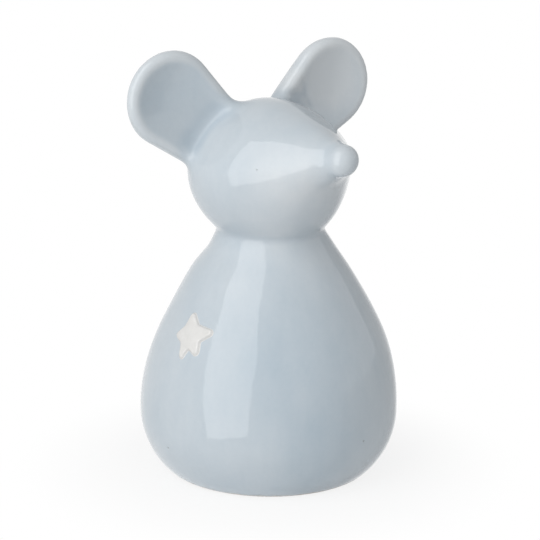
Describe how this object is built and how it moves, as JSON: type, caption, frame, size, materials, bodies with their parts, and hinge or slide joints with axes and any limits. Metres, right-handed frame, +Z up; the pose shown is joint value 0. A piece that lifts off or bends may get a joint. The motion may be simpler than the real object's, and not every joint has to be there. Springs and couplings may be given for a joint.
{
  "type": "mouse figurine",
  "caption": "Glazed ceramic mouse figurine with a pear-shaped hollow body, round head, pointed snout, ball nose, large dished ears and a small raised star.",
  "frame": {"origin": "on the belly's axis, in the plane that the foot ring rests on", "axes": "+Z up along the belly's axis; the mouse faces -Y, so its right side is -X"},
  "size_m": [0.1068, 0.0971, 0.1595],
  "materials": {
    "blue_glaze": "gloss",
    "white_glaze": "gloss"
  },
  "bodies": {
    "root": {"body_shell": "blue_glaze", "head_shell": "blue_glaze", "left_ear": "blue_glaze", "right_ear": "blue_glaze", "nose_tip": "blue_glaze", "star": "white_glaze"}
  },
  "joints": []
}
